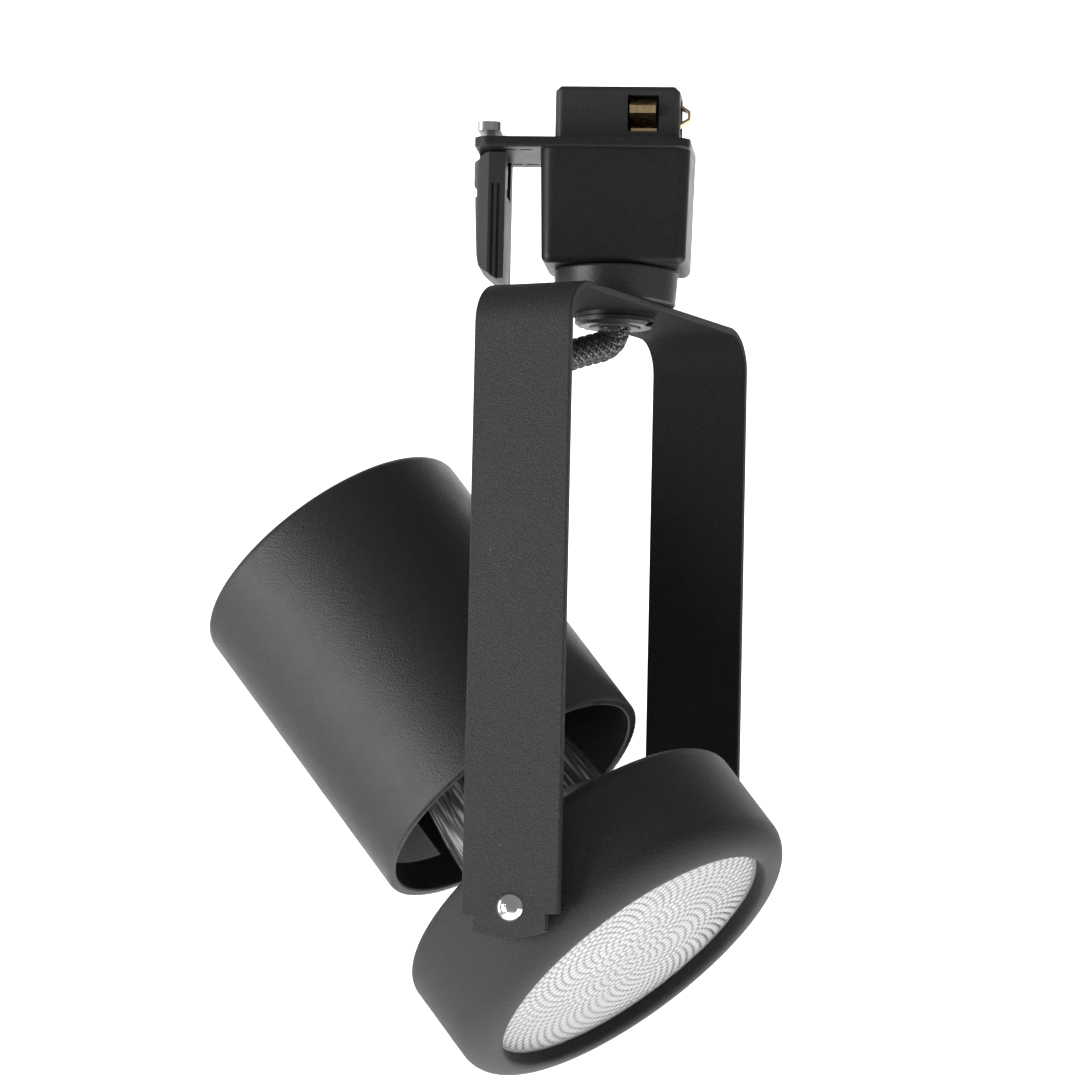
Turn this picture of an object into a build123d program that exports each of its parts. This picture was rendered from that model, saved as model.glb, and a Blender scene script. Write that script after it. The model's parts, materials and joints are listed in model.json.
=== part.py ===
from build123d import *
import math
import os

# Track spotlight: a gimbal-ring fitting for a 20/8 inch reflector lamp.
# Row frame: origin on the adapter's seating plane, where the track's underside rests,
# +X along the track, +Z up. The fitting hangs below the track.

# ---------------------------------------------------------------- driving dimensions (mm)
LAMP_GLASS_D = 63.5
LAMP_LENGTH = 82.6
LAMP_BASE_D = 26.0
BASE_THREAD_PITCH = 3.63
RING_OPENING_D = 60.0
RING_D = 73.4
RING_FRONT = 11.1
RING_REAR = -12.4
RING_WALL = 1.9
CUP_D = 57.8
CUP_WALL = 1.9
CUP_MOUTH = -30.2
CUP_REAR = -93.9
STRAP_W = 20.0
STRAP_T = 1.5
YOKE_SPAN = 80.5
YOKE_HEIGHT = 117.6
YOKE_BEND_R = 8.0
STEM_D = 10.0
STEM_BORE_D = 6.8
SLEEVE_D = 6.0
PLATE_T = 2.0
HOUSING_W = 28.8
HOUSING_DEPTH = 22.0
HOUSING_BOTTOM = -24.0
YOKE_TOP = -31.0
YOKE_YAW = 68.4
HEAD_TILT = 40.3
PIVOT_D = 3.2
SLIP = 0.05

PIVOT_Z = YOKE_TOP - YOKE_HEIGHT
RING_R = RING_D / 2
CUP_R = CUP_D / 2
STEM_R = STEM_D / 2
PIVOT_R = PIVOT_D / 2
STRAP_IN_X = YOKE_SPAN / 2 - STRAP_T

# The yoke frame has the tilt axis along its X and its origin at the tilt axis' middle.
YOKE_PLACE = Location((0, 0, PIVOT_Z)) * Rotation(0, 0, YOKE_YAW)
# The head frame has the lamp's optical axis along its Z, towards the lens.
HEAD_PLACE = YOKE_PLACE * Rotation(180 - HEAD_TILT, 0, 0)

parts = {}


# ---------------------------------------------------------------- helpers
def tube(outer_r, inner_r, low, high):
    """A hollow cylinder on the Z axis."""
    height = high - low
    ring = Cylinder(outer_r, height) - Cylinder(inner_r, height + 2)
    return Pos(0, 0, (low + high) / 2) * ring


def rod(radius, low, high):
    """A solid cylinder on the Z axis."""
    return Pos(0, 0, (low + high) / 2) * Cylinder(radius, high - low)


def block(low, high):
    """A box between two corners."""
    size = [b - a for a, b in zip(low, high)]
    middle = [(a + b) / 2 for a, b in zip(low, high)]
    return Pos(*middle) * Box(*size)


def face_of(points, rounds=()):
    """A closed outline, with some of its corners rounded: each round is (corner, radius)."""
    face = make_face(Polyline(*points, close=True))
    for corner, radius in rounds:
        face = fillet(face.vertices().sort_by_distance((corner[0], corner[1], 0))[0], radius)
    return face


def spun(face, angle=360.0):
    """Turns an (r, z) outline about the Z axis."""
    return revolve(Plane.XZ * face, Axis.Z, angle)


def strip(points, thickness, width, plane):
    """A bent metal strip: a thin outline along the points, as wide as given, centred on the plane."""
    left = []
    right = []
    path = [Vector(*p) for p in points]
    for i, here in enumerate(path):
        before = (here - path[i - 1]).normalized() if i else (path[1] - here).normalized()
        after = (path[i + 1] - here).normalized() if i < len(path) - 1 else before
        bisector = (before + after).normalized()
        reach = thickness / 2 / max(0.35, bisector.dot(before))
        side = Vector(-bisector.Y, bisector.X) * reach
        left.append(here + side)
        right.append(here - side)
    outline = [(p.X, p.Y) for p in left + right[::-1]]
    return extrude(plane * make_face(Polyline(*outline, close=True)), width / 2, both=True)


def wire(points, radius, bends):
    """A round wire along straight runs joined by arcs."""
    path = FilletPolyline(*points, radius=bends) if len(points) > 2 else Line(*points)
    start = Plane(origin=path @ 0, z_dir=path % 0)
    return sweep(start * Circle(radius), path=path)


def hexagon_nut(across_flats, low, high, bore_r):
    """A hexagon nut on the Z axis."""
    body = extrude(RegularPolygon(across_flats / 2, 6, major_radius=False), high - low)
    return Pos(0, 0, low) * body - rod(bore_r, low - 1, high + 1)


def pan_screw(head_r, head_h, shank_r, length):
    """A pan-head screw: the head's seat on the XY plane, the shank down along -Z."""
    head = Cylinder(head_r, head_h, align=(Align.CENTER, Align.CENTER, Align.MIN))
    head = fillet(head.edges().group_by(Axis.Z)[-1], head_h * 0.45)
    driver = Box(head_r * 1.2, 0.6, 1.0) + Box(0.6, head_r * 1.2, 1.0)
    return head - Pos(0, 0, head_h) * driver + rod(shank_r, -length, 0)


def joined(solids):
    """Separate solids kept together in one node."""
    return Compound([solid for piece in solids for solid in piece.solids()])


# ---------------------------------------------------------------- adapter: housing and plate
HOUSING_WALL = 1.8
HOUSING_FLOOR = 2.4
HOUSING_DRAFT = 1.5
HOUSING_CORNER = 2.6
BUSHING_R = 6.2
FLOOR_TOP = HOUSING_BOTTOM + HOUSING_FLOOR
HOUSING_H = -PLATE_T - HOUSING_BOTTOM
HOUSING_SCREWS = [(10.6, 7.2), (-10.6, -7.2)]
SCREW_R = 1.25
STOP_PEG = (0, 7.7)
STOP_PEG_R = 0.9


def housing_block(inset, low, corner):
    """The housing's drafted block, smaller all round by the inset, from the plate down to low."""
    outline = RectangleRounded(HOUSING_W - 2 * inset, HOUSING_DEPTH - 2 * inset, corner)
    plane = Plane(origin=(0, 0, -PLATE_T), z_dir=(0, 0, -1))
    return extrude(plane * outline, -PLATE_T - low, taper=HOUSING_DRAFT)


def adapter_housing():
    shell = housing_block(0, HOUSING_BOTTOM, HOUSING_CORNER)
    shell = fillet(shell.edges().group_by(Axis.Z)[0], 1.5)
    shell -= housing_block(HOUSING_WALL, FLOOR_TOP, HOUSING_CORNER - HOUSING_WALL)
    for x, y in HOUSING_SCREWS:
        boss = Pos(x, y, 0) * rod(2.5, FLOOR_TOP - 0.5, -PLATE_T)
        shell += boss & housing_block(0.5, HOUSING_BOTTOM + 1, HOUSING_CORNER - 0.5)
    for x, y in HOUSING_SCREWS:
        shell -= Pos(x, y, 0) * rod(SCREW_R, -13, 0)
    shell -= rod(BUSHING_R, HOUSING_BOTTOM - 1, FLOOR_TOP + 1)
    shell += Pos(*STOP_PEG, 0) * rod(STOP_PEG_R, FLOOR_TOP - 0.5, FLOOR_TOP + 2.6)
    return shell


def floor_bushing():
    bore = STEM_R + SLIP
    flange = tube(6.6, bore, FLOOR_TOP, FLOOR_TOP + 1.0)
    return tube(BUSHING_R, bore, HOUSING_BOTTOM, FLOOR_TOP) + flange


# Cam lever hinge, along Y, under the plate's free end
HINGE_X = -24.2
HINGE_Z = -5.8
JOURNAL_R = 0.85
CAM_R = 1.7
CAM_OFFSET = 0.8
PLATE_END = -27.0
PLATE_DEPTH = 25.0
LUG_IN = 2.6
LUG_OUT = 3.9


def across(shape_xz, low_y, high_y):
    """An (x, z) outline as thick as from low_y to high_y."""
    slab = extrude(Plane.XZ * shape_xz, high_y - low_y, both=False)
    return Pos(0, high_y, 0) * slab


def plate_lug(low_y, high_y):
    r = 2.3
    outline = Pos(HINGE_X, (HINGE_Z - PLATE_T) / 2) * Rectangle(2 * r, -PLATE_T - HINGE_Z)
    outline += Pos(HINGE_X, HINGE_Z) * Circle(r)
    outline -= Pos(HINGE_X, HINGE_Z) * Circle(JOURNAL_R + SLIP)
    return across(outline, low_y, high_y)


def top_plate():
    length = HOUSING_W / 2 - PLATE_END
    outline = RectangleRounded(length, PLATE_DEPTH, 3.0)
    plate = extrude(Pos(PLATE_END + length / 2, 0) * outline, -PLATE_T)
    plate = fillet(plate.edges().group_by(Axis.Z)[0], 0.6)
    plate += plate_lug(LUG_IN, LUG_OUT)
    plate += plate_lug(-LUG_OUT, -LUG_IN)
    plate -= block((HINGE_X - 1.9, -2.5, -PLATE_T - 1), (HINGE_X + 1.1, 2.5, 1))
    for y in (-8.6, 8.6):
        for x in (-20.4, -17.2):
            plate -= Pos(x, y, 0) * extrude(SlotOverall(2.6, 1.0), 6, both=True)
    for x, y in HOUSING_SCREWS:
        plate -= Pos(x, y, 0) * rod(SCREW_R + 0.1, -PLATE_T - 1, 1)
        plate -= Pos(x, y, 0) * rod(2.4, -1.3, 1)
    plate -= block((-7.8, 2.2, -PLATE_T - 1), (-2.2, 4.2, 1))
    plate -= block((2.2, -4.2, -PLATE_T - 1), (7.8, -2.2, 1))
    plate -= block((8.6, -2.3, -PLATE_T - 1), (10.6, 2.3, 1))
    return plate


INSERT_L = 24.0
INSERT_W = 12.6
INSERT_H = 11.0
INSERT_WALL = 1.4


def track_insert():
    body = extrude(RectangleRounded(INSERT_L, INSERT_W, 1.6), INSERT_H)
    body = chamfer(body.edges().group_by(Axis.Z)[-1], 0.9)
    body -= block(
        (-INSERT_L / 2 + INSERT_WALL, -INSERT_W / 2 + INSERT_WALL, -1),
        (INSERT_L / 2 - INSERT_WALL, INSERT_W / 2 - INSERT_WALL, INSERT_H - INSERT_WALL),
    )
    body -= block((-8.0, 3, 2.2), (-2.0, 8, 9.2))
    body -= block((2.0, -8, 2.2), (8.0, -3, 9.2))
    body -= block((8, -2.6, 2.2), (14, 2.6, 9.2))
    body += block((-0.7, -5.2, 0), (0.7, 5.2, INSERT_H - 1.0))
    return body


def side_contact(side, x):
    """A live or neutral blade: its foot in the terminal block, its bow out of the insert's window."""
    path = [(3.2, -10), (3.2, 3.4), (7.8, 5.6), (7.8, 6.8), (4.6, 8.6)]
    return Pos(x, 0, 0) * strip([(side * y, z) for y, z in path], 0.5, 5.0, Plane.YZ)


def ground_contact():
    path = [(9.6, -10), (9.6, 3.0), (13.6, 5.4), (13.6, 6.8), (11.0, 8.6)]
    return strip(path, 0.5, 4.0, Plane.XZ)


def terminal_block():
    body = block((-12.0, -4.4, -7.6), (12.0, 4.4, -PLATE_T))
    body = fillet(body.edges().filter_by(Axis.Z), 1.2)
    body -= block((-7.7, 2.9, -9), (-2.3, 3.5, 0))
    body -= block((2.3, -3.5, -9), (7.7, -2.9, 0))
    body -= block((9.3, -2.2, -9), (9.9, 2.2, 0))
    body -= rod(3.4, -9, 0)
    return body


LEAD_WIRE_R = 0.8
STEM_TOP = -15.2


def adapter_leads():
    """Three short wires from the contact feet to the stem's mouth."""
    feet = [(-5.0, 2.1, -8.6), (5.0, -2.1, -8.6), (8.4, 0.0, -8.6)]
    mouths = [(-1.4, 1.0), (1.2, -1.5), (1.3, 1.4)]
    wires = []
    for (fx, fy, fz), (mx, my) in zip(feet, mouths):
        points = [(fx, fy, fz), (fx, fy, fz - 2.2), (mx, my, fz - 4.0), (mx, my, STEM_TOP + 0.4)]
        wires.append(wire(points, LEAD_WIRE_R, 0.9))
    return joined(wires)


def housing_screws():
    screw = pan_screw(2.2, 1.2, SCREW_R, 11.0)
    return joined([Pos(x, y, -1.3) * screw for x, y in HOUSING_SCREWS])


# ---------------------------------------------------------------- cam lever and lock bar
LEVER_OUT_X = -27.6
LEVER_IN_X = -21.1
LEVER_END = -26.9
LEVER_HALF_W = 8.5
KNUCKLE_R = HINGE_X - LEVER_OUT_X
FORK_HALF_GAP = 4.2
SHAFT_L = 2 * LEVER_HALF_W - 3.0


def latch_lever():
    top = HINGE_Z + KNUCKLE_R
    side = face_of(
        [
            (LEVER_OUT_X, top),
            (LEVER_IN_X, top),
            (LEVER_IN_X, LEVER_END),
            (LEVER_IN_X - 1.6, LEVER_END),
            (LEVER_OUT_X + 1.4, LEVER_END + 2.6),
            (LEVER_OUT_X + 0.9, LEVER_END + 5.0),
            (LEVER_OUT_X, HINGE_Z - 1.0),
        ],
        [
            ((LEVER_OUT_X, top), KNUCKLE_R - 0.01),
            ((LEVER_OUT_X + 1.4, LEVER_END + 2.6), 1.6),
            ((LEVER_IN_X - 1.6, LEVER_END), 1.0),
        ],
    )
    bow = ThreePointArc((-24.3, -LEVER_HALF_W), (LEVER_OUT_X, 0), (-24.3, LEVER_HALF_W))
    flank = Polyline((-24.3, LEVER_HALF_W), (LEVER_IN_X, LEVER_HALF_W),
                     (LEVER_IN_X, -LEVER_HALF_W), (-24.3, -LEVER_HALF_W))
    plan = make_face([bow, flank])
    lever = Pos(0, 0, LEVER_END - 1) * extrude(plan, 30) & across(side, -10, 10)
    for y in (-LEVER_HALF_W, LEVER_HALF_W):
        for x in (-23.5, -22.4):
            groove = block((x - 0.25, y - 0.45, LEVER_END - 1), (x + 0.25, y + 0.45, -8.5))
            lever -= groove
    slot_low = HINGE_Z - 4.6
    lever -= block((-30, -FORK_HALF_GAP, slot_low), (-20, FORK_HALF_GAP, 0))
    lever -= Pos(HINGE_X, 0, HINGE_Z) * Rotation(90, 0, 0) * Cylinder(JOURNAL_R, SHAFT_L)
    return lever


def cam_shaft():
    turn = Pos(HINGE_X, 0, HINGE_Z) * Rotation(90, 0, 0)
    cam = Pos(HINGE_X - CAM_OFFSET, 0, HINGE_Z) * Rotation(90, 0, 0)
    return turn * Cylinder(JOURNAL_R, SHAFT_L) + cam * Cylinder(CAM_R, 4.6)


def lock_bar():
    """An eye round the cam, a flat stem up through the plate, and a head that grips the track's lips."""
    lift = 0.3
    eye_x = HINGE_X - CAM_OFFSET / 2
    half_x = CAM_R + CAM_OFFSET / 2 + 0.1
    half_z = CAM_R + lift
    frame = Pos(eye_x, HINGE_Z) * Rectangle(2 * half_x + 1.7, 2 * half_z + 1.7)
    frame = fillet(frame.vertices(), 0.8)
    frame -= Pos(eye_x, HINGE_Z) * Rectangle(2 * half_x, 2 * half_z)
    eye = across(frame, -1.9, 1.9)
    stem = block((eye_x - 0.8, -1.9, HINGE_Z + half_z + 0.4), (eye_x + 0.8, 1.9, 3.0))
    head = block((eye_x - 2.2, -7.6, 2.0), (eye_x + 2.2, 7.6, 3.7))
    head = fillet(head.edges().filter_by(Axis.Z), 1.4)
    return eye + stem + head


# ---------------------------------------------------------------- swivel joint
COLLAR_R = 12.0
SWIVEL_GAP = 0.2
LOCK_WASHER_T = 0.8
STEM_NUT_T = 1.7
THRUST_LOW = FLOOR_TOP + 1.1
STOP_WASHER_LOW = THRUST_LOW + 0.7
RETAINER_LOW = STOP_WASHER_LOW + 1.0
STEM_LOW = YOKE_TOP - STRAP_T - LOCK_WASHER_T - STEM_NUT_T + 0.4


def swivel_collar():
    top = HOUSING_BOTTOM - SWIVEL_GAP
    bore = STEM_R + SLIP
    low_r = COLLAR_R - 0.5
    section = face_of(
        [(bore, YOKE_TOP), (low_r, YOKE_TOP), (COLLAR_R, top), (bore, top)],
        [((low_r, YOKE_TOP), 0.7), ((COLLAR_R, top), 0.5)],
    )
    return spun(section)


def swivel_stem():
    stem = tube(STEM_R, STEM_BORE_D / 2, STEM_LOW, STEM_TOP)
    outer = stem.edges().filter_by(GeomType.CIRCLE).filter_by(lambda e: e.radius > STEM_R - 0.1)
    return chamfer(outer, 0.4)


def thrust_washer():
    return tube(6.6, STEM_R, THRUST_LOW, THRUST_LOW + 0.7)


def stop_washer():
    """A washer keyed to the stem. Its finger starts opposite the housing's peg, and meets it both ways."""
    washer = tube(6.2, STEM_R, STOP_WASHER_LOW, RETAINER_LOW)
    finger = block((-1.1, -8.1, STOP_WASHER_LOW), (1.1, -5.5, RETAINER_LOW))
    return washer + finger


def retainer_nut():
    return hexagon_nut(13.0, RETAINER_LOW, RETAINER_LOW + 2.8, STEM_R)


def lock_washer():
    """A lock washer under the yoke, toothed round its bore."""
    high = YOKE_TOP - STRAP_T
    washer = tube(7.4, STEM_R, high - LOCK_WASHER_T, high)
    for i in range(12):
        washer -= Rotation(0, 0, 30 * i) * Pos(STEM_R + 0.3, 0, high) * Box(1.6, 1.1, 4)
    return washer


def stem_nut():
    """A round nut with two spanner slots."""
    high = YOKE_TOP - STRAP_T - LOCK_WASHER_T
    low = high - STEM_NUT_T
    section = face_of(
        [(STEM_R, low), (7.0, low), (7.8, low + 0.6), (7.8, high), (STEM_R, high)],
        [((7.8, high), 0.3)],
    )
    nut = spun(section)
    for y in (-7.8, 7.8):
        nut -= Pos(0, y, low) * Box(2.2, 2.6, 1.6)
    return nut


def cable_bushing():
    """A flanged plastic bush that keeps the lead off the stem's lower edge."""
    bore = SLEEVE_D / 2
    flare = tube(STEM_R - 0.2, bore, STEM_LOW - 0.7, STEM_LOW)
    flare = fillet(flare.edges().group_by(Axis.Z)[0], 0.3)
    return tube(STEM_BORE_D / 2, bore, STEM_LOW, STEM_LOW + 4.0) + flare


# ---------------------------------------------------------------- yoke
TONGUE_W = 14.8
SHOULDER_Z = -1.3
TONGUE_END = -5.7
RIVET_HEAD_R = 2.8
EDGE_ROUND = 0.35


def yoke_strap():
    half = YOKE_SPAN / 2
    outer = face_of(
        [(-half, -20), (half, -20), (half, YOKE_HEIGHT), (-half, YOKE_HEIGHT)],
        [((half, YOKE_HEIGHT), YOKE_BEND_R), ((-half, YOKE_HEIGHT), YOKE_BEND_R)],
    )
    inner_h = YOKE_HEIGHT - STRAP_T
    inner = face_of(
        [(-STRAP_IN_X, -30), (STRAP_IN_X, -30), (STRAP_IN_X, inner_h), (-STRAP_IN_X, inner_h)],
        [((s * STRAP_IN_X, inner_h), YOKE_BEND_R - STRAP_T) for s in (-1, 1)],
    )
    bent = extrude(Plane.XZ * (outer - inner), STRAP_W / 2, both=True)
    hw = STRAP_W / 2
    tw = TONGUE_W / 2
    tip = ThreePointArc((-tw, TONGUE_END + 1.3), (0, TONGUE_END), (tw, TONGUE_END + 1.3))
    rest = Polyline((tw, TONGUE_END + 1.3), (tw, SHOULDER_Z), (hw, SHOULDER_Z), (hw, YOKE_HEIGHT + 1),
                    (-hw, YOKE_HEIGHT + 1), (-hw, SHOULDER_Z), (-tw, SHOULDER_Z), (-tw, TONGUE_END + 1.3))
    flat = extrude(Plane.YZ * make_face([tip, rest]), YOKE_SPAN, both=True)
    strap = bent & flat
    rims = strap.edges().filter_by(lambda edge: abs(abs(edge.center().Y) - hw) < 0.01)
    strap = fillet(rims.filter_by(lambda edge: edge.center().Z > 0), EDGE_ROUND)
    strap -= Rotation(0, 90, 0) * Cylinder(PIVOT_R, 2 * YOKE_SPAN)
    strap -= Pos(0, 0, YOKE_HEIGHT) * Cylinder(STEM_R + SLIP, 10)
    return strap


SPACER_T = STRAP_IN_X - RING_R - 0.15
INNER_WASHER_X = RING_R - RING_WALL - 0.3


def pivot_rivet():
    """A domed shoulder rivet on the X axis: head outside the leg, flared tail inside the ring."""
    seat = YOKE_SPAN / 2
    height = 1.7
    dome_r = (RIVET_HEAD_R ** 2 + height ** 2) / (2 * height)
    dome = Pos(0, 0, seat + height - dome_r) * Sphere(dome_r)
    dome &= rod(RIVET_HEAD_R, seat, seat + height + 1)
    tail_high = INNER_WASHER_X - 0.5
    tail = rod(2.3, tail_high - 0.9, tail_high)
    tail = fillet(tail.edges().group_by(Axis.Z)[0], 0.4)
    shank = rod(PIVOT_R, tail_high - 0.4, seat + 0.2)
    return Rotation(0, 90, 0) * (dome + shank + tail)


def on_both_legs(piece):
    """The same piece on the far leg and, turned half round, on the near one."""
    return joined([piece, Rotation(0, 0, 180) * piece])


def pivot_spacer():
    return Rotation(0, 90, 0) * tube(4.0, PIVOT_R, STRAP_IN_X - SPACER_T, STRAP_IN_X)


def friction_washer():
    return Rotation(0, 90, 0) * tube(3.0, PIVOT_R, INNER_WASHER_X - 0.5, INNER_WASHER_X)


# Where the lead goes into the cup: round the cup from its upper side towards the near leg
ENTRY_TURN = 45.0
ENTRY_Z = -40.8
ENTRY_OUT = Vector(-math.sin(math.radians(ENTRY_TURN)), math.cos(math.radians(ENTRY_TURN)), 0)


def in_yoke(point):
    """A head-frame point or direction in the yoke frame."""
    turn = math.radians(180 - HEAD_TILT)
    y = point.Y * math.cos(turn) - point.Z * math.sin(turn)
    z = point.Y * math.sin(turn) + point.Z * math.cos(turn)
    return Vector(point.X, y, z)


def supply_lead():
    """The sleeved lead, from the stem's top down through it, round in a slack bow, into the cup."""
    entry = in_yoke(ENTRY_OUT * CUP_R + Vector(0, 0, ENTRY_Z))
    outward = in_yoke(ENTRY_OUT)
    stem_low = STEM_LOW - PIVOT_Z
    route = [
        Vector(0, 0, STEM_TOP - PIVOT_Z - 1.0),
        Vector(0, 0, stem_low - 4.0),
        Vector(-6.4, 4.0, stem_low - 6.0),
        Vector(-15.0, 7.8, stem_low - 9.4),
        Vector(-26.0, 9.4, stem_low - 19.6),
        Vector(-33.4, 5.8, stem_low - 34.6),
        Vector(-34.9, -0.6, stem_low - 49.5),
        Vector(-32.4, -0.6, stem_low - 61.0),
        entry + outward * 8.0,
        entry - outward * 4.5,
    ]
    radii = []
    for before, here, after in zip(route, route[1:], route[2:]):
        turn = (here - before).get_angle(after - here)
        shorter = min((here - before).length, (after - here).length)
        radii.append(0.45 * shorter / math.tan(math.radians(turn / 2)))
    path = FilletPolyline(*route, radius=radii)
    print("lead radii", [round(r, 1) for r in radii], "length", round(path.length, 1))
    return sweep(Plane(origin=path @ 0, z_dir=path % 0) * Circle(SLEEVE_D / 2), path=path)


# ---------------------------------------------------------------- gimbal ring and lamp clip
RING_IN_R = RING_R - RING_WALL
LIP_Z = RING_FRONT - 2.8
CLIP_R = 33.2
CLIP_Z = 3.4
CLIP_WIRE_R = 0.7
CLIP_TAB_ANGLE = 8.0
RING_NOTCH_ANGLE = 42.0


def gimbal_ring():
    opening_r = RING_OPENING_D / 2
    section = face_of(
        [
            (opening_r, LIP_Z),
            (opening_r, RING_FRONT),
            (RING_R, RING_FRONT),
            (RING_R, RING_REAR),
            (RING_R - 4.2, RING_REAR),
            (RING_R - 4.2, RING_REAR + 1.8),
            (RING_IN_R, RING_REAR + 1.8),
            (RING_IN_R, LIP_Z),
        ],
        [
            ((RING_R, RING_FRONT), 5.4),
            ((RING_R, RING_REAR), 2.7),
            ((RING_IN_R, LIP_Z), 3.5),
            ((RING_IN_R, RING_REAR + 1.8), 0.9),
            ((opening_r, RING_FRONT), 1.2),
        ],
    )
    ring = spun(section)
    ring -= Rotation(0, 90, 0) * Cylinder(PIVOT_R + SLIP, 3 * RING_R)
    slot = Pos(RING_R, 0, CLIP_Z + 1.0) * Box(8, 6.4, 4.4)
    ring -= Rotation(0, 0, CLIP_TAB_ANGLE) * slot
    notch = Pos(RING_R, 0, RING_REAR) * Box(5.0, 3.6, 3.0)
    ring -= Rotation(0, 0, RING_NOTCH_ANGLE) * notch
    return ring


def lamp_clip():
    """A spring-wire ring behind the lamp's rim, whose ends turn out through the ring's slot."""
    gap = 3.0
    arc = CenterArc((0, 0), CLIP_R, CLIP_TAB_ANGLE + gap, 360 - 2 * gap)
    hoop = sweep(Plane(origin=arc @ 0, z_dir=arc % 0) * Circle(CLIP_WIRE_R), path=arc)
    hoop = Pos(0, 0, CLIP_Z) * hoop
    for side in (-1, 1):
        turn = CLIP_TAB_ANGLE + side * gap
        finger = Pos(0, 0, CLIP_Z) * Rotation(0, 90, 0) * rod(CLIP_WIRE_R, CLIP_R, RING_R + 2.0)
        hoop += Rotation(0, 0, turn) * finger
        hoop += Rotation(0, 0, turn) * Pos(CLIP_R, 0, CLIP_Z) * Sphere(CLIP_WIRE_R)
    return hoop


# ---------------------------------------------------------------- lamp
GLASS_R = LAMP_GLASS_D / 2
LENS_EDGE_Z = 7.8
LENS_CROWN_Z = 8.7
LENS_SEAT_Z = 4.0
PARABOLA = 30.0
PARABOLA_APEX = -30.0
INNER_SHIFT = 2.5
NECK_TOP = -21.0
NECK_IN_R = 14.2
FOOT_HOLE_R = 6.0
LAMP_TIP = LENS_CROWN_Z - LAMP_LENGTH
BASE_TOP = LAMP_TIP + 27.0
BASE_R = LAMP_BASE_D / 2
NECK_FLOOR = BASE_TOP + 2.0


def parabola_r(z, shift=0.0):
    return math.sqrt(PARABOLA * (z - PARABOLA_APEX - shift))


def parabola(low, high, shift=0.0):
    """A meridian of the reflector between two heights, low end first."""
    steps = 8
    heights = [low + (high - low) * i / steps for i in range(steps + 1)]
    return Spline(*[(parabola_r(z, shift), z) for z in heights])


def lamp_lens():
    crown = ThreePointArc((0, LENS_CROWN_Z), (15.4, LENS_CROWN_Z - 0.2), (GLASS_R - 1.2, LENS_EDGE_Z))
    edge = Polyline((GLASS_R - 1.2, LENS_EDGE_Z), (GLASS_R, LENS_EDGE_Z - 1.2), (GLASS_R, LENS_SEAT_Z),
                    (GLASS_R - 3.0, LENS_SEAT_Z), (GLASS_R - 4.5, LENS_SEAT_Z + 1.4), (0, LENS_SEAT_Z + 1.4),
                    (0, LENS_CROWN_Z))
    return spun(make_face([crown, edge]))


def parabola_z(r, shift=0.0):
    return r * r / PARABOLA + PARABOLA_APEX + shift


def lamp_reflector():
    """Bowl and neck in one piece of glass: the burner stands in the neck and reaches into the bowl."""
    bowl_top = 1.0
    hole_high = parabola_z(FOOT_HOLE_R, INNER_SHIFT)
    hole_low = parabola_z(FOOT_HOLE_R)
    foot_high = parabola_z(NECK_IN_R)
    outer = parabola(NECK_TOP, bowl_top)
    rim = Polyline((parabola_r(bowl_top), bowl_top), (GLASS_R, bowl_top + 1.2), (GLASS_R, LENS_SEAT_Z),
                   (parabola_r(LENS_SEAT_Z, INNER_SHIFT), LENS_SEAT_Z))
    inner = parabola(hole_high, LENS_SEAT_Z, INNER_SHIFT)
    hole = Line((FOOT_HOLE_R, hole_high), (FOOT_HOLE_R, hole_low))
    foot = parabola(hole_low, foot_high)
    neck = Polyline((NECK_IN_R, foot_high), (13.9, -30.0), (12.9, -38.0), (11.0, NECK_FLOOR), (0, NECK_FLOOR),
                    (0, BASE_TOP), (12.3, BASE_TOP), (13.4, BASE_TOP + 3.0), (14.6, -38.0), (15.8, -30.0),
                    (parabola_r(NECK_TOP), NECK_TOP))
    return spun(make_face([outer, rim, inner, hole, foot, neck]))


CAPSULE_R = 4.6
CAPSULE_LOW = -31.0
CAPSULE_HIGH = -12.0


def burner_capsule():
    outer = rod(CAPSULE_R, CAPSULE_LOW, CAPSULE_HIGH - CAPSULE_R)
    outer += Pos(0, 0, CAPSULE_HIGH - CAPSULE_R) * Sphere(CAPSULE_R)
    inner_r = CAPSULE_R - 0.8
    outer -= rod(inner_r, CAPSULE_LOW + 4.5, CAPSULE_HIGH - CAPSULE_R)
    outer -= Pos(0, 0, CAPSULE_HIGH - CAPSULE_R) * Sphere(inner_r)
    return outer


def filament():
    coil = Pos(0, 0, -19.5) * Cylinder(0.7, 7.0)
    for x in (-1.0, 1.0):
        coil += wire([(x, 0, CAPSULE_LOW + 4.5), (x, 0, -24.0), (0, 0, -22.5)], 0.3, 0.4)
    return coil


def burner_supports():
    return joined([Pos(x, 0, 0) * rod(0.5, NECK_FLOOR, CAPSULE_LOW) for x in (-2.4, 2.4)])


def waved(mean_r, depth, low, high):
    """A wavy meridian of ring grooves at the screw thread's pitch, low end first."""
    steps = 4 * round((high - low) / BASE_THREAD_PITCH)
    points = []
    for i in range(steps + 1):
        z = low + (high - low) * i / steps
        points.append((mean_r + depth * math.sin(math.pi / 2 * i), z))
    return points


def wavy_shell(mean_r, depth, thickness, low, high):
    outside = waved(mean_r, depth, low, high)
    inside = [(r - thickness, z) for r, z in outside]
    ends = [Line(outside[-1], inside[-1]), Line(inside[0], outside[0])]
    return spun(make_face([Spline(*outside), ends[0], Spline(*inside), ends[1]]))


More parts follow.
